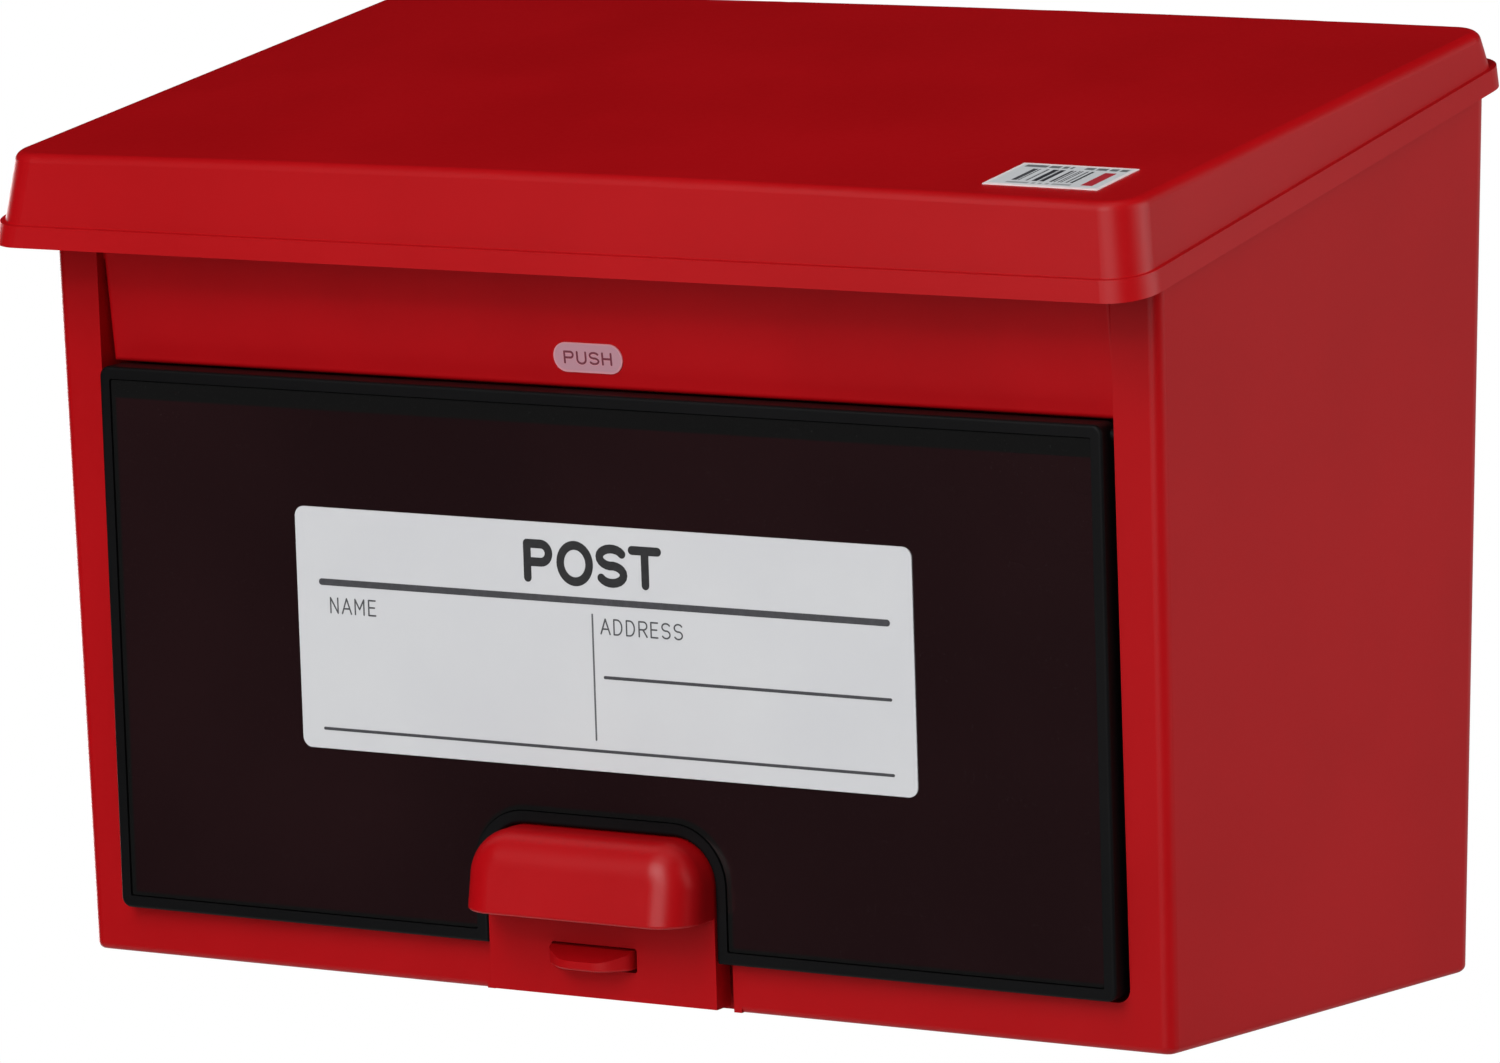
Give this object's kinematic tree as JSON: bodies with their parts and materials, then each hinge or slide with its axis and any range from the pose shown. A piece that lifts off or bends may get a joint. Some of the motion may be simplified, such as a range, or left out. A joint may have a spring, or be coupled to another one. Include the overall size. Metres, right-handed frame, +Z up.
{
  "type": "wall mounted post box",
  "caption": "moulded post box for a wall: sloping lid, hinged mail flap, and a smoked door with a pull handle and a name card",
  "frame": {"origin": "on the back face, at the centre of the four wall screw holes", "axes": "+X runs along the front to the right as seen from the front, +Y points into the wall, +Z is up, so the front faces -Y"},
  "size_m": [0.3764, 0.2134, 0.2692],
  "materials": {
    "red_plastic": "deep red moulded plastic, semi gloss with a fine satin grain",
    "black_plastic": "black moulded plastic, semi gloss",
    "smoked_plastic": "smoked clear plastic with a faint red tint from the casing behind it",
    "white_plastic": "off white, engraved with thin black rules and plain words",
    "sticker_paper": "white coated paper",
    "screw_steel": "zinc plated"
  },
  "bodies": {
    "box": {"casing": "red_plastic", "lid": "red_plastic", "lid_sticker": "sticker_paper"},
    "flap": {"flap": "red_plastic", "push_badge": "white_plastic"},
    "door": {"door_frame": "black_plastic", "door_window": "smoked_plastic", "name_card": "white_plastic", "handle": "red_plastic", "handle_screws": "screw_steel"}
  },
  "joints": [
    {"name": "flap_hinge", "type": "hinge", "parent": "box", "child": "flap", "pos_m": [0, -0.18338, 0.10184], "axis": [1, 0, 0], "range_deg": [0, 65]},
    {"name": "door_hinge", "type": "hinge", "parent": "box", "child": "door", "pos_m": [0, -0.18412, 0.06737], "axis": [-1, 0, 0], "range_deg": [0, 70]}
  ]
}
